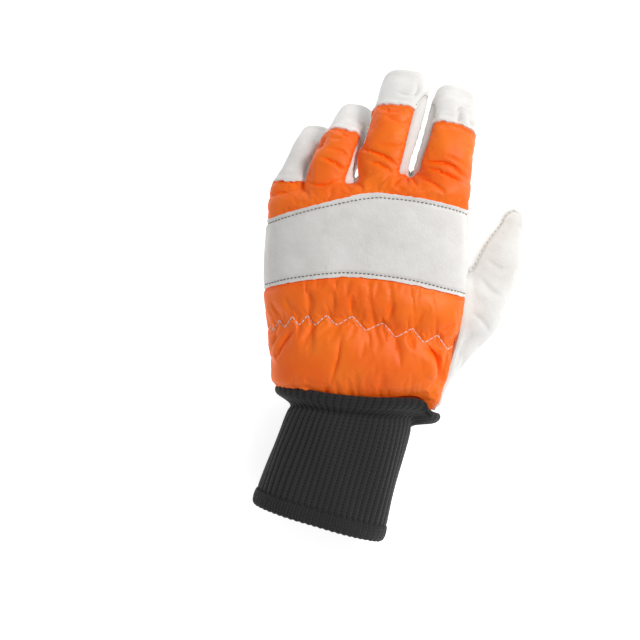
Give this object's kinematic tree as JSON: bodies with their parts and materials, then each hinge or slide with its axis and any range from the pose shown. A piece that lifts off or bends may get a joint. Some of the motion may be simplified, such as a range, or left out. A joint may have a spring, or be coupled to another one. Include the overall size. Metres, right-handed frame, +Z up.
{
  "type": "chainsaw glove",
  "caption": "Left-hand padded work glove lying palm down: leather palm, thumb and fingertips, padded fabric back with a leather knuckle band, ribbed knit cuff with a rolled top.",
  "frame": {"origin": "middle of the glove's plan on the surface that it lies on, palm down", "axes": "+Z up towards the back of the hand, +Y towards the fingertips, +X towards the thumb"},
  "size_m": [0.1656, 0.2848, 0.065],
  "materials": {
    "leather": "off-white grain leather, softly creased",
    "padded_fabric": "high-visibility orange woven nylon over padding, satin",
    "rib_knit": "charcoal black rib knit, matt"
  },
  "bodies": {
    "root": {"back_fabric_lower": "padded_fabric", "back_fabric_upper": "padded_fabric", "index_cap": "leather", "knit_cuff": "rib_knit", "knuckle_band": "leather", "little_cap": "leather", "middle_cap": "leather", "palm_leather": "leather", "palm_patch": "leather", "ring_cap": "leather", "side_wall_little_ring": "leather", "side_wall_middle_index": "leather", "side_wall_ring_middle": "leather", "thumb_gusset": "leather", "thumb_leather": "leather"}
  },
  "joints": []
}
